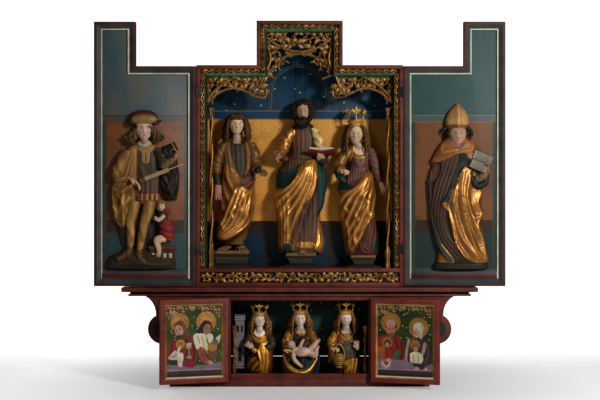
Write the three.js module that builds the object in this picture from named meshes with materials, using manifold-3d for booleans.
// A winged altarpiece in the late Gothic manner: a stepped shrine with three standing saints under gilded
// tracery, two stepped wings with carved reliefs, and a predella with three crowned half figures behind two
// painted doors. Millimetres, +Z up, the front looks towards -Y, the origin is amid the underside.
import * as THREE from "three";
import { mergeVertices } from "three/addons/utils/BufferGeometryUtils.js";
import Module from "manifold-3d";

// Driving dimensions
const SHRINE_WIDTH = 1200;
const SHRINE_DEPTH = 270;
const SHOULDER_RISE = 1287;
const CROWN_WIDTH = 500;
const CROWN_RISE = 258;
const BOARD = 20;
const PREDELLA_HEIGHT = 525;
const PREDELLA_DEPTH = 300;
const CORNICE_HEIGHT = 50;
const CORNICE_WIDTH = 2050;
const WING_WIDTH = 592;
const WING_THICKNESS = 45;
const WING_TALL_WIDTH = 241;
const DOOR_WIDTH = 399;
const DOOR_HEIGHT = 481;
const DOOR_THICKNESS = 24;
const DOOR_AJAR_DEG = 17;

// Heights and planes that follow from them
const SHRINE_FOOT = PREDELLA_HEIGHT + CORNICE_HEIGHT;
const SHOULDER = SHRINE_FOOT + SHOULDER_RISE;
const CROWN = SHOULDER + CROWN_RISE;
const HALF_SHRINE = SHRINE_WIDTH / 2;
const HALF_CROWN = CROWN_WIDTH / 2;
const BACK = PREDELLA_DEPTH / 2;
const FRONT = BACK - SHRINE_DEPTH;
const PREDELLA_FRONT = -PREDELLA_DEPTH / 2;
const BACK_PANEL = 15;
const SILL_BOTTOM = SHRINE_FOOT + 84;
const SILL = SHRINE_FOOT + 107;
const TOUCH = 0.3;

const finish = (color, roughness, metalness = 0) =>
  new THREE.MeshStandardMaterial({ color, roughness, metalness });
const RED = finish(0x7a3426, 0.6);
const DARK_RED = finish(0x5a3029, 0.6);
const TEAL = finish(0x465a5a, 0.65);
const SKY = finish(0x1d4258, 0.6);
const GOLD = finish(0xb58545, 0.35, 0.8);
const LEAF_GREEN = finish(0x3c6b48, 0.6);
const NIGHT_GREEN = finish(0x15302b, 0.6);
const PAINTED = finish(0x6b5a3a, 0.5);
const STONE_GREEN = finish(0x55533f, 0.7);
const IRON = finish(0x2b2422, 0.5, 0.8);
const CORNICE_RED = finish(0x6a3226, 0.6);

const wasm = await Module();
wasm.setup();

// Solids: joining, cutting and naming

function solid(geometry) {
  const bare = geometry.index ? geometry.toNonIndexed() : geometry.clone();
  bare.deleteAttribute("normal");
  bare.deleteAttribute("uv");
  const merged = mergeVertices(bare, 1e-3);
  const build = (triVerts) =>
    new wasm.Manifold(
      new wasm.Mesh({
        numProp: 3,
        vertProperties: new Float32Array(merged.attributes.position.array),
        triVerts,
      }),
    );
  const triangles = new Uint32Array(merged.index.array);
  const made = build(triangles);
  return made.volume() < 0 ? build(triangles.slice().reverse()) : made;
}

const fuse = (solids) => solids.reduce((all, next) => all.add(next));

function geometryOf(body) {
  const mesh = body.getMesh();
  return new THREE.BufferGeometry()
    .setAttribute("position", new THREE.BufferAttribute(mesh.vertProperties.slice(), 3))
    .setIndex(new THREE.BufferAttribute(mesh.triVerts.slice(), 1));
}

const altarpiece = new THREE.Group();

function place(name, body, material, parent = altarpiece) {
  const mesh = new THREE.Mesh(geometryOf(body), material);
  mesh.name = name;
  parent.add(mesh);
  return mesh;
}

// Basic shapes

function block(x0, x1, y0, y1, z0, z1) {
  const geometry = new THREE.BoxGeometry(x1 - x0, y1 - y0, z1 - z0);
  geometry.translate((x0 + x1) / 2, (y0 + y1) / 2, (z0 + z1) / 2);
  return solid(geometry);
}

// A flat board with the front-view outline of a shape drawn in x and z.
function plate(shape, y0, y1) {
  const geometry = new THREE.ExtrudeGeometry(shape, {
    depth: y1 - y0,
    bevelEnabled: false,
    curveSegments: 7,
  });
  geometry.rotateX(Math.PI / 2);
  geometry.translate(0, y1, 0);
  return solid(geometry);
}

// A skin over rings of equally many points, closed by a fan at each end or round into itself.
function loft(rings, closed = false) {
  const count = rings[0].length;
  const positions = rings.flat().flatMap((p) => [p.x, p.y, p.z]);
  const index = [];
  const joins = closed ? rings.length : rings.length - 1;
  for (let k = 0; k < joins; k++) {
    const here = k * count;
    const next = ((k + 1) % rings.length) * count;
    for (let i = 0; i < count; i++) {
      const j = (i + 1) % count;
      index.push(here + i, here + j, next + j, here + i, next + j, next + i);
    }
  }
  if (!closed)
    for (const end of [0, rings.length - 1]) {
      const hub = new THREE.Vector3();
      rings[end].forEach((p) => hub.addScaledVector(p, 1 / count));
      const centre = positions.length / 3;
      positions.push(hub.x, hub.y, hub.z);
      for (let i = 0; i < count; i++) {
        const a = end * count + i;
        const b = end * count + ((i + 1) % count);
        index.push(...(end ? [a, b, centre] : [b, a, centre]));
      }
    }
  const geometry = new THREE.BufferGeometry();
  geometry.setAttribute("position", new THREE.Float32BufferAttribute(positions, 3));
  geometry.setIndex(index);
  return solid(geometry);
}

// A moulding mitred round a clockwise outline in x and z; its profile is pairs of inset and depth.
function mitredFrame(outline, profile, y, closed) {
  const last = outline.length - 1;
  const inward = (from, to) =>
    new THREE.Vector2(to[1] - from[1], from[0] - to[0]).normalize();
  const rings = outline.map((corner, k) => {
    const before = outline[k ? k - 1 : last];
    const after = outline[k === last ? 0 : k + 1];
    const n1 = !closed && k === 0 ? inward(corner, after) : inward(before, corner);
    const n2 = !closed && k === last ? n1 : inward(corner, after);
    const mitre = n1.clone().add(n2).divideScalar(1 + n1.dot(n2));
    return profile.map(
      ([inset, depth]) =>
        new THREE.Vector3(corner[0] + mitre.x * inset, y + depth, corner[1] + mitre.y * inset),
    );
  });
  return loft(rings, closed);
}

// A flat carved rib between two depths that follows front-view points and tapers with its widths.
function rib(points, widths, y0, y1, steps = points.length) {
  const path = new THREE.CatmullRomCurve3(points.map(([x, z]) => new THREE.Vector3(x, 0, z)));
  const rings = [];
  for (let k = 0; k <= steps; k++) {
    const t = k / steps;
    const p = path.getPoint(t);
    const along = path.getTangent(t);
    const slot = Math.min(Math.floor(t * (widths.length - 1)), widths.length - 2);
    const share = t * (widths.length - 1) - slot;
    const half = THREE.MathUtils.lerp(widths[slot], widths[slot + 1], share) / 2;
    const across = new THREE.Vector3(along.z, 0, -along.x).multiplyScalar(half);
    const left = p.clone().add(across);
    const right = p.clone().sub(across);
    rings.push([
      new THREE.Vector3(left.x, y1, left.z),
      new THREE.Vector3(p.x, y0, p.z),
      new THREE.Vector3(right.x, y1, right.z),
    ]);
  }
  return loft(rings);
}

// A tendril that winds inwards from its start point round a centre.
function tendril(centre, start, turns, width, y0, y1) {
  const dx = start[0] - centre[0];
  const dz = start[1] - centre[1];
  const reach = Math.hypot(dx, dz);
  const from = Math.atan2(dz, dx);
  const steps = Math.ceil(Math.abs(turns) * 5);
  const points = [];
  for (let k = 0; k <= steps; k++) {
    const t = k / steps;
    const angle = from + t * turns * 2 * Math.PI;
    const r = reach * (1 - 0.72 * t);
    points.push([centre[0] + r * Math.cos(angle), centre[1] + r * Math.sin(angle)]);
  }
  return rib(points, [width, width * 0.8], y0, y1, steps);
}

// A tube through points whose radius runs evenly through the radii given.
function limb(points, radii, sides = 6, steps = (points.length - 1) * 2) {
  const path = new THREE.CatmullRomCurve3(points);
  const rings = [];
  const frames = path.computeFrenetFrames(steps);
  for (let k = 0; k <= steps; k++) {
    const t = k / steps;
    const centre = path.getPoint(t);
    const slot = Math.min(Math.floor(t * (radii.length - 1)), radii.length - 2);
    const r = THREE.MathUtils.lerp(radii[slot], radii[slot + 1], t * (radii.length - 1) - slot);
    const ring = [];
    for (let i = 0; i < sides; i++) {
      const a = (2 * Math.PI * i) / sides;
      ring.push(
        centre
          .clone()
          .addScaledVector(frames.normals[k], r * Math.cos(a))
          .addScaledVector(frames.binormals[k], r * Math.sin(a)),
      );
    }
    rings.push(ring);
  }
  return loft(rings);
}

// Predella: a low chest whose front board swells out into a lobe on each side, open behind two doors

const HALF_BASE = 752;
const BASE_HEIGHT = 44;
const FRONT_BOARD = 30;
const LOBE_RADIUS = 87;
const LOBE_X = 790;
const LOBE_Z = 333.5;
const OPENING_HALF = 398;
const OPENING_FOOT = 75;
const OPENING_HEAD = 499;
const PREDELLA_SIDE = 740;
const BACK_SLIT = 138;

const halfPredella = new THREE.Path();
halfPredella.moveTo(HALF_BASE, BASE_HEIGHT);
halfPredella.lineTo(HALF_BASE + 18, 250);
halfPredella.absarc(LOBE_X, LOBE_Z, LOBE_RADIUS, -Math.PI / 2, (63 * Math.PI) / 180);
halfPredella.quadraticCurveTo(829, 490, 893, PREDELLA_HEIGHT);
const rightEdge = halfPredella.getPoints(5);
const leftEdge = rightEdge.map((p) => new THREE.Vector2(-p.x, p.y)).reverse();
const predellaBoard = new THREE.Shape([...rightEdge, ...leftEdge]);
predellaBoard.holes.push(
  new THREE.Path([
    new THREE.Vector2(-OPENING_HALF, OPENING_FOOT),
    new THREE.Vector2(-OPENING_HALF, OPENING_HEAD),
    new THREE.Vector2(OPENING_HALF, OPENING_HEAD),
    new THREE.Vector2(OPENING_HALF, OPENING_FOOT),
  ]),
);
place("predella_front", plate(predellaBoard, PREDELLA_FRONT, PREDELLA_FRONT + FRONT_BOARD), RED);
place("base_board", block(-HALF_BASE, HALF_BASE, PREDELLA_FRONT + 2, BACK, 0, BASE_HEIGHT), RED);

const CHEST_FRONT = PREDELLA_FRONT + FRONT_BOARD;
const CHEST_BACK = BACK - BOARD;
for (const [name, x] of [
  ["predella_left_side", -PREDELLA_SIDE],
  ["predella_right_side", PREDELLA_SIDE - BOARD],
])
  place(name, block(x, x + BOARD, CHEST_FRONT, CHEST_BACK, BASE_HEIGHT, PREDELLA_HEIGHT), RED);
const backBoard = (z0, z1) => block(-PREDELLA_SIDE, PREDELLA_SIDE, CHEST_BACK, BACK, z0, z1);
place("predella_back_lower", backBoard(BASE_HEIGHT, BACK_SLIT), NIGHT_GREEN);
place("predella_back_upper", backBoard(BACK_SLIT + 5, PREDELLA_HEIGHT), NIGHT_GREEN);

// Slender gilded shafts just inside the opening
const spindle = (x, y, profile, sides) => {
  const lathe = new THREE.LatheGeometry(
    profile.map(([r, z]) => new THREE.Vector2(r, z)),
    sides,
  );
  lathe.rotateX(Math.PI / 2);
  lathe.translate(x, y, 0);
  return solid(lathe);
};
const SMALL_SHAFT = [
  [0, 44],
  [15, 44],
  [15, 58],
  [8, 70],
  [8, 318],
  [14, 336],
  [14, 348],
  [0, 348],
];
for (const [name, x] of [
  ["predella_left_colonnette", -381],
  ["predella_right_colonnette", 381],
])
  place(name, spindle(x, -96, SMALL_SHAFT, 6), GOLD);

// Cornice between predella and shrine: fillet, dark hollow and broad top board
const CORNICE_FRONT = -190;
const corniceLevels = [
  [0, 988, -165],
  [11, 988, -165],
  [13, 975, -152],
  [22, 980, -157],
  [26, CORNICE_WIDTH / 2, CORNICE_FRONT],
  [CORNICE_HEIGHT, CORNICE_WIDTH / 2, CORNICE_FRONT],
];
const corniceRings = corniceLevels.map(([z, half, front]) =>
  [
    [-half, front],
    [half, front],
    [half, BACK],
    [-half, BACK],
  ].map(([x, y]) => new THREE.Vector3(x, y, PREDELLA_HEIGHT + z)),
);
place("cornice", loft(corniceRings), CORNICE_RED);

// Shrine: a stepped case of boards

const CASE_BACK = BACK - BACK_PANEL;
const board = (name, x0, x1, z0, z1, material = RED) =>
  place(name, block(x0, x1, FRONT, CASE_BACK, z0, z1), material);
const INNER = HALF_SHRINE - BOARD;
const BOTTOM_BOARD = 25;
board("shrine_bottom_board", -INNER, INNER, SHRINE_FOOT, SHRINE_FOOT + BOTTOM_BOARD);
board("shrine_sill_board", -INNER, INNER, SILL_BOTTOM, SILL);
board("shrine_left_side", -HALF_SHRINE, -INNER, SHRINE_FOOT, SHOULDER - BOARD);
board("shrine_right_side", INNER, HALF_SHRINE, SHRINE_FOOT, SHOULDER - BOARD);
board("shrine_left_shoulder", -HALF_SHRINE, -HALF_CROWN + BOARD, SHOULDER - BOARD, SHOULDER);
board("shrine_right_shoulder", HALF_CROWN - BOARD, HALF_SHRINE, SHOULDER - BOARD, SHOULDER);
board("shrine_crown_left", -HALF_CROWN, -HALF_CROWN + BOARD, SHOULDER, CROWN - BOARD);
board("shrine_crown_right", HALF_CROWN - BOARD, HALF_CROWN, SHOULDER, CROWN - BOARD);
board("shrine_crown_top", -HALF_CROWN, HALF_CROWN, CROWN - BOARD, CROWN);

const STRIP_FOOT = SHRINE_FOOT + BOTTOM_BOARD;
place(
  "shrine_strip_backing",
  block(-INNER, INNER, FRONT + 18, FRONT + 30, STRIP_FOOT, SILL_BOTTOM),
  NIGHT_GREEN,
);

const stepped = [
  [-HALF_SHRINE, SHRINE_FOOT],
  [-HALF_SHRINE, SHOULDER],
  [-HALF_CROWN, SHOULDER],
  [-HALF_CROWN, CROWN],
  [HALF_CROWN, CROWN],
  [HALF_CROWN, SHOULDER],
  [HALF_SHRINE, SHOULDER],
  [HALF_SHRINE, SHRINE_FOOT],
];
const backShape = new THREE.Shape(stepped.map(([x, z]) => new THREE.Vector2(x, z)));
place("shrine_back", plate(backShape, CASE_BACK, BACK), SKY);

// Moulded frame that lines the case from the sill upwards: step, hollow, bead and green splay
const COVE_INSET = 62;
const COVE_DEPTH = 54;
const coveProfile = [
  [BOARD + TOUCH, 5],
  [22, 5],
  [24, 22],
  [44, 22],
  [46, 12],
  [48, 12],
  [COVE_INSET, 42],
  [COVE_INSET, COVE_DEPTH],
  [BOARD + TOUCH, COVE_DEPTH],
];
const coveOutline = stepped.map(([x, z]) => [x, z === SHRINE_FOOT ? SILL : z]);
place("shrine_cove_frame", mitredFrame(coveOutline, coveProfile, FRONT, false), LEAF_GREEN);

// Gilded carving: wavy leaf strips in the hollow, foliage under the sill, shafts and tracery

const GILT_BACK = FRONT + 22 - TOUCH;
const GILT_FRONT = FRONT + 8;
const STRIP_INSET = 34;
const STRIP_WAVE = 5;
const LEAF_PITCH = 76;
const STEM_WIDTH = 10;

// A wavy leaf stem along a straight run.
function leafStem(from, to) {
  const along = new THREE.Vector2(to[0] - from[0], to[1] - from[1]);
  const length = along.length();
  along.normalize();
  const across = new THREE.Vector2(-along.y, along.x);
  const bends = Math.round(length / LEAF_PITCH);
  const at = (s, side) => [
    from[0] + along.x * s + across.x * side,
    from[1] + along.y * s + across.y * side,
  ];
  const stem = [];
  for (let k = 0; k <= bends; k++)
    stem.push(at((k * length) / bends, k % 2 ? STRIP_WAVE : -STRIP_WAVE));
  return rib(stem, [STEM_WIDTH, STEM_WIDTH], GILT_FRONT, GILT_BACK, bends);
}

const HOLLOW_X = HALF_SHRINE - STRIP_INSET;
const CROWN_X = HALF_CROWN - STRIP_INSET;
const SHOULDER_Z = SHOULDER - STRIP_INSET;
const CROWN_Z = CROWN - STRIP_INSET;
const gilt = (name, runs) => place(name, fuse(runs), GOLD);
gilt("gilt_strip_left", [leafStem([-HOLLOW_X, SILL + 10], [-HOLLOW_X, SHOULDER_Z - 12])]);
gilt("gilt_strip_right", [leafStem([HOLLOW_X, SILL + 10], [HOLLOW_X, SHOULDER_Z - 12])]);
gilt("gilt_strip_left_shoulder", [leafStem([-HOLLOW_X, SHOULDER_Z], [-CROWN_X - 12, SHOULDER_Z])]);
gilt("gilt_strip_right_shoulder", [leafStem([CROWN_X + 12, SHOULDER_Z], [HOLLOW_X, SHOULDER_Z])]);
gilt("gilt_strip_crown", [
  leafStem([-CROWN_X, SHOULDER_Z], [-CROWN_X, CROWN_Z - 6]),
  leafStem([-CROWN_X - 4, CROWN_Z], [CROWN_X + 4, CROWN_Z]),
  leafStem([CROWN_X, CROWN_Z - 6], [CROWN_X, SHOULDER_Z]),
]);

// Foliage strip under the sill: a waving stem that swells into a broad leaf in each bend
const FOLIAGE_BACK = FRONT + 17.5;
const FOLIAGE_MIDDLE = (STRIP_FOOT + SILL_BOTTOM) / 2;
const FOLIAGE_HALF = 572;
const FOLIAGE_LEAVES = 16;
const wave = [];
const swell = [];
for (let k = 0; k <= 2 * FOLIAGE_LEAVES; k++) {
  const lift = k % 2 ? (k % 4 === 1 ? 14 : -14) : 0;
  wave.push([FOLIAGE_HALF * (k / FOLIAGE_LEAVES - 1), FOLIAGE_MIDDLE + lift]);
  swell.push(k % 2 ? 27 : 9);
}
place("shrine_foliage_strip", rib(wave, swell, FRONT + 4, FOLIAGE_BACK, 2 * FOLIAGE_LEAVES), GOLD);

// Tall twisted shafts that carry the tracery
const SHAFT_X = 518;
const SHAFT_Y = -50;
const SHAFT_TOP = 1618;
function twistedShaft(x) {
  const levels = [
    [0, 21],
    [24, 21],
    [60, 12],
    [SHAFT_TOP - SILL - 34, 11],
    [SHAFT_TOP - SILL - 24, 18],
    [SHAFT_TOP - SILL, 20],
  ];
  const rings = levels.map(([z, r], k) => {
    const ring = [];
    for (let i = 0; i < 8; i++) {
      const a = (i * Math.PI) / 4 + (k > 2 ? 1.2 : 0);
      const bulge = i % 2 ? 0.86 : 1;
      ring.push(new THREE.Vector3(x + r * bulge * Math.cos(a), SHAFT_Y + r * bulge * Math.sin(a), SILL + z));
    }
    return ring;
  });
  return loft(rings);
}
place("shrine_left_colonnette", twistedShaft(-SHAFT_X), GOLD);
place("shrine_right_colonnette", twistedShaft(SHAFT_X), GOLD);

// Pierced tracery: crossing ribs, a cusped lower edge and rolled foliage between them
const TRACERY_FRONT = FRONT + COVE_DEPTH + 0.5;
const TRACERY_BACK = TRACERY_FRONT + 20;
const mirrored = (side, points) => points.map(([x, z]) => [x * side, z]);

function shoulderTracery(side) {
  const bar = (points, widths) =>
    rib(mirrored(side, points), widths, TRACERY_FRONT, TRACERY_BACK);
  const rail = (a, b, z0, z1) =>
    block(Math.min(a * side, b * side), Math.max(a * side, b * side), TRACERY_FRONT, TRACERY_BACK, z0, z1);
  const curl = (centre, start, turns) =>
    tendril(
      mirrored(side, [centre])[0],
      mirrored(side, [start])[0],
      turns * side,
      15,
      TRACERY_FRONT + 4,
      TRACERY_BACK,
    );
  return fuse([
    rail(-574, -528, 1640, 1838),
    rail(-540, -232, 1800, 1838),
    bar([[-548, 1652], [-492, 1726], [-398, 1790], [-322, 1818], [-222, 1822], [-132, 1786]], [26, 24, 18]),
    bar([[-212, 1984], [-178, 1956], [-168, 1890], [-206, 1815], [-232, 1738]], [20, 22, 16]),
    bar([[-548, 1638], [-492, 1688], [-382, 1732], [-322, 1716], [-262, 1684], [-206, 1674]], [22, 20, 12]),
    bar([[-206, 1674], [-190, 1706], [-206, 1738], [-226, 1760], [-232, 1815]], [12, 16, 18]),
    curl([-478, 1768], [-528, 1752], -0.8),
    curl([-405, 1748], [-398, 1792], 0.8),
    curl([-320, 1768], [-322, 1815], 0.9),
  ]);
}
place("shrine_left_tracery", shoulderTracery(1), GOLD);
place("shrine_right_tracery", shoulderTracery(-1), GOLD);

function crownTracery() {
  const bar = (points, widths) => rib(points, widths, TRACERY_FRONT, TRACERY_BACK);
  const halves = [-1, 1].flatMap((side) => {
    const curl = (centre, start, turns) =>
      tendril(
        mirrored(side, [centre])[0],
        mirrored(side, [start])[0],
        turns * side,
        14,
        TRACERY_FRONT + 4,
        TRACERY_BACK,
      );
    return [
      bar(mirrored(side, [[-6, 1936], [80, 1925], [124, 1872], [112, 1838]]), [16, 18, 12]),
      curl([112, 1900], [90, 1928], -0.8),
      curl([80, 1995], [44, 2052], 0.9),
    ];
  });
  return fuse([
    block(-222, 222, TRACERY_FRONT, TRACERY_BACK, 2042, 2080),
    bar([[-212, 2046], [-90, 1962], [0, 1944], [90, 1962], [212, 2046]], [22, 22]),
    ...halves,
  ]);
}
place("shrine_crown_tracery", crownTracery(), GOLD);

// Carved figures. Each is measured in shares of its own height: x across, y in front of its flat back
// (negative towards the viewer) and z above its foot.

const BACK_CORNER = 0.8;

// Rows that carry a gown on from the shoulders into a mass of hair behind the face.
const hairRows = ([x, y, z], [w, d, h], wide = 1.45) => [
  [z - h * 0.9, x - w * wide * 1.1, x + w * wide * 1.1, -y],
  [z + h * 0.4, x - w * wide, x + w * wide, 0.15 * d - y],
  [z + h * 1.05, x - w, x + w, 0.1 * d - y],
  [z + h * 1.25, x - w * 0.3, x + w * 0.3, -0.4 * d - y],
];

class Carving {
  constructor(height) {
    this.height = height;
    this.solids = [];
  }

  at(x, y, z) {
    return new THREE.Vector3(x, y, z).multiplyScalar(this.height);
  }

  // A body built from rows of height, left edge, right edge and depth of the front. Every second column
  // is raised into a fold; the fan gathers the columns to the right above 1 and to the left below it,
  // first at the foot and then at the top.
  gown(rows, columns = 6, rise = 0, fan = [1, 1]) {
    const rings = rows.map(([z, left, right, front], k) => {
      const middle = (left + right) / 2;
      const half = (right - left) / 2;
      const gather = THREE.MathUtils.lerp(...fan, k / (rows.length - 1));
      const ring = [];
      for (let i = 0; i <= columns; i++) {
        const t = Math.PI * (i / columns) ** gather;
        const fold = i % 2 && i < columns ? rise : -rise / 2;
        ring.push(this.at(middle + half * Math.cos(t), -front * (0.25 + 0.75 * Math.sin(t)) - fold, z));
      }
      ring.push(this.at(middle - half * BACK_CORNER, 0, z));
      ring.push(this.at(middle + half * BACK_CORNER, 0, z));
      return ring;
    });
    this.solids.push(loft(rings));
    return this;
  }

  tube(radii, ...points) {
    const scaled = radii.map((r) => r * this.height);
    this.solids.push(limb(points.map((p) => this.at(...p)), scaled, 4, points.length - 1));
    return this;
  }

  ball(centre, size, around = 5, rows = 3) {
    const geometry = new THREE.SphereGeometry(this.height, around, rows);
    geometry.rotateX(Math.PI / 2);
    geometry.scale(...size);
    const c = this.at(...centre);
    geometry.translate(c.x, c.y, c.z);
    this.solids.push(solid(geometry));
    return this;
  }

  box(centre, size, turn = 0, lean = 0) {
    const geometry = new THREE.BoxGeometry(...size.map((s) => s * this.height));
    geometry.rotateX(lean);
    geometry.rotateY(turn);
    const c = this.at(...centre);
    geometry.translate(c.x, c.y, c.z);
    this.solids.push(solid(geometry));
    return this;
  }

  // A small pyramid with four sides, standing on a place.
  spike([x, y, z], radius, tall) {
    const geometry = new THREE.ConeGeometry(radius * this.height, tall * this.height, 4);
    geometry.rotateX(Math.PI / 2);
    const c = this.at(x, y, z + tall / 2);
    geometry.translate(c.x, c.y, c.z);
    this.solids.push(solid(geometry));
    return this;
  }

  // Head; the size is half its width, depth and height.
  head(centre, size) {
    return this.ball(centre, size, 6, 5);
  }

  // Crown: a band with tall fleurons.
  crown([x, y, z], radius, band, tall) {
    const ring = new THREE.CylinderGeometry(radius * 1.12, radius, band, 8);
    ring.rotateX(Math.PI / 2);
    ring.scale(this.height, this.height, this.height);
    const c = this.at(x, y, z + band / 2);
    ring.translate(c.x, c.y, c.z);
    this.solids.push(solid(ring));
    for (let k = 0; k < 3; k++) {
      const a = Math.PI * (1.14 + k * 0.36);
      const foot = [x + radius * 0.85 * Math.cos(a), y + radius * 0.85 * Math.sin(a), z + band * 0.6];
      this.spike(foot, radius * 0.42, tall + band * 0.4);
    }
    return this;
  }

  whole() {
    return fuse(this.solids);
  }
}

function stand(name, carving, x, y, z) {
  const mesh = place(name, carving.whole(), PAINTED);
  mesh.position.set(x, y, z);
  return mesh;
}

// Octagonal moulded pedestals on the sill
const PEDESTAL_HEIGHT = 66;
const STATUE_BACK = 127;
function pedestal(name, x, half, height) {
  const levels = [
    [0, 1.12, 92],
    [0.2, 1.12, 92],
    [0.36, 0.98, 78],
    [0.6, 0.98, 78],
    [0.76, 1.1, 90],
    [1, 1.1, 90],
  ];
  const rings = levels.map(([z, spread, depth]) =>
    [
      [-1, 0.85],
      [-1, -0.5],
      [-0.6, -1],
      [0.6, -1],
      [1, -0.5],
      [1, 0.85],
    ].map(([u, v]) => new THREE.Vector3(x + u * half * spread, 25 + v * depth, SILL + z * height)),
  );
  return place(name, loft(rings), STONE_GREEN);
}

// Middle statue: bearded, in a brown robe, with a gold mantle swept across and an open book
const CENTRE_HEIGHT = 930;
const CENTRE_X = 14;
pedestal("pedestal_centre", CENTRE_X - 8, 128, PEDESTAL_HEIGHT);
const bearded = new Carving(CENTRE_HEIGHT)
  .box([-0.006, -0.09, 0.011], [0.25, 0.17, 0.022])
  .gown([
    [0.015, -0.13, 0.118, 0.15],
    [0.12, -0.144, 0.12, 0.15],
    [0.24, -0.158, 0.106, 0.15],
    [0.38, -0.166, 0.132, 0.155],
    [0.52, -0.16, 0.15, 0.15],
    [0.62, -0.09, 0.1, 0.125],
  ], 11, 0.02, [0.8, 1.5])
  .gown([
    [0.58, -0.085, 0.09, 0.13],
    [0.72, -0.09, 0.095, 0.125],
    [0.79, -0.09, 0.1, 0.115],
    [0.835, -0.06, 0.07, 0.1],
    ...hairRows([0.008, -0.105, 0.92], [0.046, 0.05, 0.064]),
  ], 7, 0.006)
  .tube([0.042, 0.046, 0.026], [-0.07, -0.06, 0.785], [-0.13, -0.085, 0.675], [-0.15, -0.185, 0.637])
  .tube([0.045, 0.05, 0.026], [0.078, -0.06, 0.785], [0.125, -0.08, 0.64], [0.1, -0.185, 0.615])
  .box([0.08, -0.175, 0.655], [0.09, 0.07, 0.03], 0.12, -0.4)
  .box([0.163, -0.175, 0.655], [0.09, 0.07, 0.03], -0.12, -0.4)
  .head([0.003, -0.105, 0.915], [0.04, 0.05, 0.062])
  .tube([0.03, 0.034, 0.016], [0.003, -0.13, 0.885], [0.005, -0.14, 0.85], [0.005, -0.12, 0.81]);
stand("statue_centre", bearded, CENTRE_X, STATUE_BACK, SILL + PEDESTAL_HEIGHT + TOUCH);

// Left statue: young, long curled hair, gold mantle over a dark robe, bare feet
const LEFT_HEIGHT = 834;
const LEFT_X = -388;
pedestal("pedestal_left", LEFT_X - 10, 100, PEDESTAL_HEIGHT + 10);
const young = new Carving(LEFT_HEIGHT)
  .box([-0.01, -0.1, 0.014], [0.235, 0.19, 0.028])
  .gown([
    [0.09, -0.112, 0.083, 0.15],
    [0.21, -0.119, 0.1, 0.155],
    [0.33, -0.106, 0.133, 0.165],
    [0.45, -0.075, 0.135, 0.165],
    [0.58, -0.07, 0.133, 0.14],
  ], 11, 0.02, [0.75, 1.4])
  .gown([
    [0.02, -0.08, 0.085, 0.13],
    [0.12, -0.09, 0.08, 0.14],
  ])
  .gown([
    [0.54, -0.068, 0.13, 0.14],
    [0.72, -0.09, 0.142, 0.135],
    [0.78, -0.095, 0.138, 0.125],
    [0.82, -0.07, 0.11, 0.105],
    ...hairRows([0.018, -0.11, 0.912], [0.045, 0.055, 0.066], 1.5),
  ], 7, 0.008)
  .tube([0.045, 0.046, 0.032], [-0.075, -0.07, 0.765], [-0.13, -0.075, 0.6], [-0.115, -0.11, 0.5])
  .tube([0.022, 0.026, 0.014], [-0.115, -0.11, 0.5], [-0.105, -0.12, 0.45], [-0.1, -0.125, 0.385])
  .tube([0.045, 0.048, 0.028], [0.12, -0.07, 0.76], [0.15, -0.09, 0.61], [0.2, -0.175, 0.578])
  .tube([0.026, 0.022, 0.016], [-0.04, -0.1, 0.045], [-0.045, -0.155, 0.035], [-0.05, -0.185, 0.03])
  .tube([0.026, 0.022, 0.016], [0.035, -0.1, 0.045], [0.045, -0.15, 0.035], [0.05, -0.18, 0.03])
  .head([0.018, -0.11, 0.912], [0.045, 0.055, 0.066]);
stand("statue_left", young, LEFT_X, STATUE_BACK, SILL + PEDESTAL_HEIGHT + 10 + TOUCH);

// Right statue: crowned, long wavy hair, gold mantle, one arm lowered
const RIGHT_HEIGHT = 892;
const RIGHT_X = 356;
pedestal("pedestal_right", RIGHT_X + 20, 104, PEDESTAL_HEIGHT - 12);
const crowned = new Carving(RIGHT_HEIGHT)
  .box([0.02, -0.09, 0.01], [0.22, 0.17, 0.02])
  .gown([
    [0.012, -0.085, 0.135, 0.15],
    [0.09, -0.092, 0.135, 0.15],
    [0.22, -0.114, 0.1, 0.155],
    [0.35, -0.126, 0.092, 0.16],
    [0.47, -0.15, 0.078, 0.155],
    [0.58, -0.13, 0.068, 0.135],
  ], 11, 0.02, [1, 1.6])
  .gown([
    [0.55, -0.09, 0.066, 0.13],
    [0.66, -0.065, 0.075, 0.13],
    [0.71, -0.085, 0.095, 0.125],
    [0.745, -0.08, 0.075, 0.12],
    ...hairRows([-0.026, -0.11, 0.818], [0.042, 0.05, 0.06], 1.5),
  ], 7, 0.008)
  .tube([0.042, 0.046, 0.024], [-0.075, -0.06, 0.705], [-0.14, -0.08, 0.6], [-0.108, -0.185, 0.585])
  .tube([0.042, 0.036, 0.026], [0.078, -0.06, 0.705], [0.113, -0.082, 0.575], [0.143, -0.12, 0.48])
  .tube([0.018, 0.022, 0.012], [0.138, -0.118, 0.5], [0.152, -0.125, 0.45], [0.16, -0.13, 0.42])
  .head([-0.026, -0.11, 0.818], [0.042, 0.05, 0.06])
  .crown([-0.026, -0.1, 0.868], 0.056, 0.036, 0.095);
stand("statue_right", crowned, RIGHT_X, STATUE_BACK, SILL + PEDESTAL_HEIGHT - 12 + TOUCH);

// Three crowned half figures in the predella
const BUST_FOOT = BASE_HEIGHT + TOUCH;
const BUST_BACK = 52;
const BUST_HEAD = [0.07, 0.082, 0.1];

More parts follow.
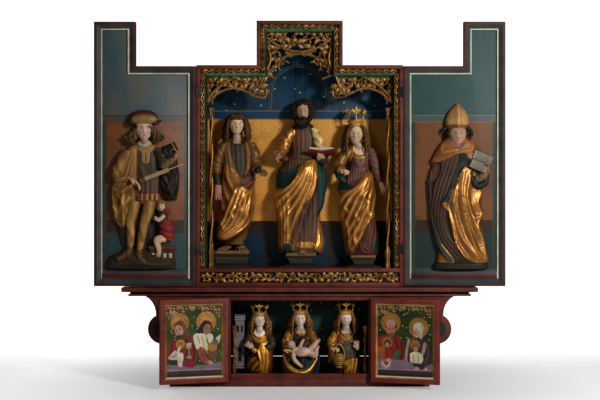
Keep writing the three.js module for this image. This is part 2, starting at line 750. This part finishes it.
// Left: a hand on the breast and a slim tower at the side, carved from the same block
const tower = new Carving(416)
  .gown([
    [0.0, -0.11, 0.19, 0.24],
    [0.13, -0.145, 0.2, 0.27],
    [0.32, -0.142, 0.22, 0.28],
    [0.5, -0.165, 0.2, 0.25],
    [0.575, -0.15, 0.18, 0.21],
    ...hairRows([0.018, -0.2, 0.725], BUST_HEAD),
  ], 9, 0.025, [0.8, 1.3])
  .tube([0.075, 0.08, 0.045], [-0.12, -0.14, 0.54], [-0.16, -0.22, 0.36], [-0.12, -0.31, 0.46])
  .box([-0.26, -0.06, 0.44], [0.13, 0.12, 0.72])
  .box([-0.26, -0.07, 0.82], [0.15, 0.14, 0.06])
  .box([-0.26, -0.07, 0.12], [0.15, 0.14, 0.06])
  .box([-0.17, -0.05, 0.3], [0.12, 0.1, 0.08])
  .head([0.018, -0.2, 0.725], BUST_HEAD)
  .crown([0.018, -0.19, 0.805], 0.09, 0.055, 0.12);
stand("bust_left", tower, -244, BUST_BACK, BUST_FOOT);

// Middle: a child lying across the arms, a crescent of gold below
const mother = new Carving(426)
  .gown([
    [0.0, -0.235, 0.25, 0.25],
    [0.13, -0.25, 0.268, 0.28],
    [0.32, -0.25, 0.27, 0.29],
    [0.49, -0.22, 0.24, 0.25],
    [0.57, -0.18, 0.21, 0.21],
    ...hairRows([0, -0.2, 0.735], BUST_HEAD),
  ], 9, 0.025, [1, 1])
  .tube([0.075, 0.075, 0.045], [-0.17, -0.14, 0.53], [-0.22, -0.22, 0.36], [-0.12, -0.3, 0.29])
  .tube([0.075, 0.075, 0.045], [0.19, -0.14, 0.53], [0.24, -0.22, 0.36], [0.15, -0.31, 0.28])
  .ball([-0.118, -0.31, 0.387], [0.06, 0.06, 0.064])
  .tube([0.05, 0.068, 0.062], [-0.07, -0.31, 0.37], [0.04, -0.32, 0.345], [0.16, -0.31, 0.345])
  .tube([0.045, 0.04, 0.024], [0.15, -0.32, 0.36], [0.24, -0.33, 0.375], [0.275, -0.31, 0.43])
  .tube([0.028, 0.024, 0.018], [-0.04, -0.34, 0.33], [0.01, -0.37, 0.22], [0.06, -0.36, 0.13])
  .tube(
    [0.02, 0.045, 0.05, 0.045, 0.015],
    [-0.235, -0.22, 0.29],
    [-0.12, -0.3, 0.11],
    [0.02, -0.31, 0.055],
    [0.15, -0.29, 0.11],
    [0.235, -0.24, 0.22],
  )
  .head([0.0, -0.2, 0.735], BUST_HEAD)
  .crown([0.0, -0.19, 0.815], 0.09, 0.055, 0.125);
stand("bust_centre", mother, 3, BUST_BACK, BUST_FOOT);

// Right: a basket with a handle held before the body
const basket = new Carving(426)
  .gown([
    [0.0, -0.18, 0.185, 0.24],
    [0.15, -0.24, 0.185, 0.27],
    [0.36, -0.258, 0.19, 0.28],
    [0.53, -0.21, 0.17, 0.24],
    [0.59, -0.15, 0.14, 0.2],
    ...hairRows([0, -0.2, 0.738], BUST_HEAD),
  ], 9, 0.025, [0.8, 1.3])
  .tube([0.075, 0.08, 0.04], [-0.18, -0.14, 0.54], [-0.23, -0.22, 0.38], [-0.15, -0.33, 0.36])
  .tube([0.075, 0.08, 0.042], [0.14, -0.14, 0.54], [0.17, -0.22, 0.4], [0.08, -0.32, 0.41])
  .ball([-0.095, -0.31, 0.25], [0.085, 0.07, 0.075])
  .tube([0.04, 0.06, 0.07], [-0.095, -0.3, 0.2], [-0.095, -0.29, 0.14], [-0.095, -0.27, 0.08])
  .tube(
    [0.016, 0.016],
    [-0.17, -0.32, 0.28],
    [-0.14, -0.34, 0.39],
    [-0.05, -0.34, 0.39],
    [-0.02, -0.32, 0.28],
  )
  .head([0.0, -0.2, 0.738], BUST_HEAD)
  .crown([0.0, -0.19, 0.815], 0.09, 0.055, 0.125);
stand("bust_right", basket, 272, BUST_BACK, BUST_FOOT);

// Wings: stepped panels in moulded frames, each with a ledge and a relief figure

const WING_GAP = 2;
const WING_FOOT = SHRINE_FOOT + 4;
const WING_LOW = SHOULDER - 6;
const WING_HIGH = CROWN - 6;
const PANEL_FRONT = 25;
const WING_BEVEL = 48;
const wingProfile = [
  [0, 0],
  [17, 0],
  [38, 18],
  [40, 14],
  [47, 14],
  [WING_BEVEL, 18],
  [WING_BEVEL, PANEL_FRONT - TOUCH],
  [36, PANEL_FRONT - TOUCH],
  [36, WING_THICKNESS],
  [0, WING_THICKNESS],
];
const WING_INNER = HALF_SHRINE + WING_GAP;
const WING_OUTER = WING_INNER + WING_WIDTH;
const WING_STEP = WING_OUTER - WING_TALL_WIDTH;

function wingOutline(side, inset) {
  const corners = [
    [WING_INNER + inset, WING_FOOT + inset],
    [WING_INNER + inset, WING_LOW - inset],
    [WING_STEP + inset, WING_LOW - inset],
    [WING_STEP + inset, WING_HIGH - inset],
    [WING_OUTER - inset, WING_HIGH - inset],
    [WING_OUTER - inset, WING_FOOT + inset],
  ];
  return side > 0 ? corners : mirrored(-1, corners).reverse();
}

const HINGE_X = HALF_SHRINE + 1;
const HINGE_Y = FRONT - 3.5;
const HINGE_RADIUS = 3;
const HINGE_LENGTH = 70;
const HINGE_HEIGHTS = { lower: 760, upper: 1670 };

function wing(side, sideName) {
  place(`${sideName}_wing_frame`, mitredFrame(wingOutline(side, 0), wingProfile, FRONT, true), DARK_RED);
  const panel = new THREE.Shape(wingOutline(side, 36 + TOUCH).map(([x, z]) => new THREE.Vector2(x, z)));
  place(`${sideName}_wing_panel`, plate(panel, FRONT + PANEL_FRONT, FRONT + WING_THICKNESS), TEAL);

  const ledgeEnds = mirrored(side, [
    [WING_INNER + WING_BEVEL + TOUCH, 0],
    [WING_OUTER - WING_BEVEL - TOUCH, 0],
  ]).map(([x]) => x);
  const ledge = ledgeEnds.map((x) =>
    [
      [8, WING_FOOT + WING_BEVEL + TOUCH],
      [8, WING_FOOT + 71],
      [PANEL_FRONT - TOUCH, WING_FOOT + 103],
      [PANEL_FRONT - TOUCH, WING_FOOT + WING_BEVEL + TOUCH],
    ].map(([y, z]) => new THREE.Vector3(x, FRONT + y, z)),
  );
  place(`${sideName}_wing_ledge`, loft(ledge), TEAL);

  for (const [level, z] of Object.entries(HINGE_HEIGHTS)) {
    const barrel = spindle(
      side * HINGE_X,
      HINGE_Y,
      [
        [0, z],
        [HINGE_RADIUS, z],
        [HINGE_RADIUS, z + HINGE_LENGTH],
        [0, z + HINGE_LENGTH],
      ],
      6,
    );
    const near = side * (HINGE_X - 30);
    const far = side * (HINGE_X - 1);
    const leaf = block(
      Math.min(near, far),
      Math.max(near, far),
      FRONT - 2.4,
      FRONT - TOUCH,
      z + 6,
      z + HINGE_LENGTH - 6,
    );
    place(`${sideName}_wing_${level}_hinge`, barrel.add(leaf), IRON);
  }
}
wing(-1, "left");
wing(1, "right");

const RELIEF_BACK = FRONT + PANEL_FRONT - TOUCH;
const RELIEF_FOOT = WING_FOOT + 103 + TOUCH;

// Left wing: a young man with a broad hat and a sword, a small figure on a stool beside him
const swordsman = new Carving(908)
  .gown([
    [0, -0.23, 0.222, 0.06],
    [0.06, -0.22, 0.215, 0.07],
    [0.11, -0.11, 0.1, 0.05],
  ], 5)
  .gown([
    [0.14, -0.14, -0.055, 0.035],
    [0.3, -0.165, -0.05, 0.045],
    [0.46, -0.19, -0.03, 0.06],
    [0.65, -0.18, -0.02, 0.062],
    [0.74, -0.135, 0.0, 0.06],
    [0.8, -0.06, 0.0, 0.045],
  ], 7, 0.01, [1, 0.7])
  .gown([
    [0.41, -0.035, 0.12, 0.06],
    [0.56, -0.04, 0.12, 0.056],
    [0.7, -0.06, 0.125, 0.062],
    [0.76, -0.08, 0.12, 0.06],
    [0.8, -0.06, 0.09, 0.05],
    ...hairRows([0.019, -0.046, 0.87], [0.044, 0.032, 0.055], 1.6),
  ], 9, 0.008)
  .tube(
    [0.034, 0.028, 0.02, 0.016],
    [-0.01, -0.04, 0.42],
    [-0.064, -0.05, 0.28],
    [-0.085, -0.04, 0.12],
    [-0.145, -0.055, 0.06],
  )
  .tube(
    [0.034, 0.028, 0.02, 0.016],
    [0.08, -0.04, 0.42],
    [0.04, -0.055, 0.28],
    [0.0, -0.045, 0.11],
    [0.02, -0.062, 0.05],
  )
  .tube([0.038, 0.036, 0.022], [-0.09, -0.045, 0.75], [-0.14, -0.052, 0.6], [-0.05, -0.06, 0.55])
  .ball([-0.03, -0.066, 0.55], [0.034, 0.022, 0.028])
  .box([0.13, -0.082, 0.617], [0.31, 0.008, 0.014], -0.386)
  .tube(
    [0.038, 0.052, 0.048, 0.03],
    [0.1, -0.054, 0.74],
    [0.18, -0.054, 0.6],
    [0.195, -0.054, 0.5],
    [0.19, -0.05, 0.42],
  )
  .tube([0.03, 0.022], [0.2, -0.055, 0.6], [0.2, -0.055, 0.75])
  .ball([0.185, -0.045, 0.755], [0.044, 0.03, 0.042])
  .head([0.019, -0.046, 0.87], [0.044, 0.032, 0.055])
  .ball([0.015, -0.042, 0.958], [0.099, 0.04, 0.042], 8, 4)
  .ball([0.136, -0.045, 0.4], [0.032, 0.028, 0.034])
  .tube([0.026, 0.05, 0.052], [0.14, -0.052, 0.38], [0.16, -0.053, 0.28], [0.17, -0.053, 0.14])
  .tube([0.028, 0.026, 0.018], [0.15, -0.055, 0.2], [0.11, -0.06, 0.19], [0.12, -0.055, 0.09])
  .box([0.137, -0.03, 0.08], [0.17, 0.059, 0.12]);
stand("left_wing_relief", swordsman, -919, RELIEF_BACK, RELIEF_FOOT);

// Right wing: a bishop with a mitre and an open book
const bishop = new Carving(956)
  .box([0.005, -0.0365, 0.022], [0.325, 0.071, 0.044])
  .gown([
    [0.03, -0.15, 0.17, 0.06],
    [0.12, -0.131, 0.156, 0.06],
    [0.26, -0.16, 0.125, 0.062],
    [0.42, -0.19, 0.125, 0.064],
    [0.55, -0.204, 0.14, 0.064],
    [0.67, -0.14, 0.1, 0.05],
  ], 11, 0.01, [0.9, 1.2])
  .gown([
    [0.64, -0.185, 0.135, 0.068],
    [0.7, -0.15, 0.125, 0.066],
    [0.755, -0.12, 0.1, 0.06],
    ...hairRows([-0.018, -0.04, 0.815], [0.046, 0.034, 0.05]),
  ])
  .tube([0.042, 0.042, 0.02], [-0.11, -0.045, 0.7], [-0.17, -0.052, 0.585], [-0.05, -0.064, 0.605])
  .tube([0.042, 0.044], [0.09, -0.046, 0.7], [0.13, -0.05, 0.575])
  .tube([0.036, 0.026], [0.12, -0.052, 0.585], [0.172, -0.058, 0.617])
  .box([0.118, -0.052, 0.645], [0.13, 0.03, 0.1], 0.32)
  .head([-0.018, -0.04, 0.806], [0.046, 0.034, 0.056])
  .gown([
    [0.845, -0.088, 0.052, 0.062],
    [0.9, -0.093, 0.057, 0.066],
    [0.955, -0.07, 0.034, 0.056],
    [1.0, -0.022, -0.008, 0.03],
  ]);
stand("right_wing_relief", bishop, 932, RELIEF_BACK, RELIEF_FOOT);

// Doors of the predella, standing a little ajar, each a panel in a frame on a rod held by two arms

const DOOR_AXIS_X = 406;
const DOOR_AXIS_Y = PREDELLA_FRONT - 26;
const DOOR_FOOT = 33;
const DOOR_RAIL = 28;
const DOOR_PANEL_DEPTH = 8;
const ROD_RADIUS = 4;
const DOOR_CLEAR = 5;
const doorProfile = [
  [0, 0],
  [DOOR_RAIL, 0],
  [DOOR_RAIL + 1, 3],
  [DOOR_RAIL + 3, 3],
  [DOOR_RAIL + 4, 1],
  [DOOR_RAIL + 12, DOOR_PANEL_DEPTH - TOUCH],
  [DOOR_RAIL - 8, DOOR_PANEL_DEPTH - TOUCH],
  [DOOR_RAIL - 8, DOOR_THICKNESS],
  [0, DOOR_THICKNESS],
];

function door(side, sideName) {
  const leaf = new THREE.Group();
  leaf.position.set(side * DOOR_AXIS_X, DOOR_AXIS_Y, 0);
  leaf.rotation.z = (-side * DOOR_AJAR_DEG * Math.PI) / 180;
  altarpiece.add(leaf);
  const face = -DOOR_THICKNESS / 2;
  const outline = (inset) => {
    const corners = [
      [DOOR_CLEAR + inset, DOOR_FOOT + inset],
      [DOOR_CLEAR + inset, DOOR_FOOT + DOOR_HEIGHT - inset],
      [DOOR_CLEAR + DOOR_WIDTH - inset, DOOR_FOOT + DOOR_HEIGHT - inset],
      [DOOR_CLEAR + DOOR_WIDTH - inset, DOOR_FOOT + inset],
    ];
    return side > 0 ? corners : mirrored(-1, corners).reverse();
  };
  place(`${sideName}_door_frame`, mitredFrame(outline(0), doorProfile, face, true), RED, leaf);
  const panel = new THREE.Shape(
    outline(DOOR_RAIL - 8 + TOUCH).map(([x, z]) => new THREE.Vector2(x, z)),
  );
  place(
    `${sideName}_door_panel`,
    plate(panel, face + DOOR_PANEL_DEPTH, face + DOOR_THICKNESS),
    PAINTED,
    leaf,
  );
  const rod = spindle(
    side * DOOR_AXIS_X,
    DOOR_AXIS_Y,
    [
      [0, DOOR_FOOT],
      [ROD_RADIUS, DOOR_FOOT],
      [ROD_RADIUS, DOOR_FOOT + DOOR_HEIGHT],
      [0, DOOR_FOOT + DOOR_HEIGHT],
    ],
    6,
  );
  const arm = (z) =>
    block(
      side * DOOR_AXIS_X - 3,
      side * DOOR_AXIS_X + 3,
      DOOR_AXIS_Y,
      PREDELLA_FRONT - TOUCH,
      z - 8,
      z + 8,
    );
  const arms = [DOOR_FOOT + 70, DOOR_FOOT + DOOR_HEIGHT - 70].map(arm);
  place(`${sideName}_door_hinge`, fuse([rod, ...arms]), IRON);
}
door(-1, "left");
door(1, "right");

export default altarpiece;
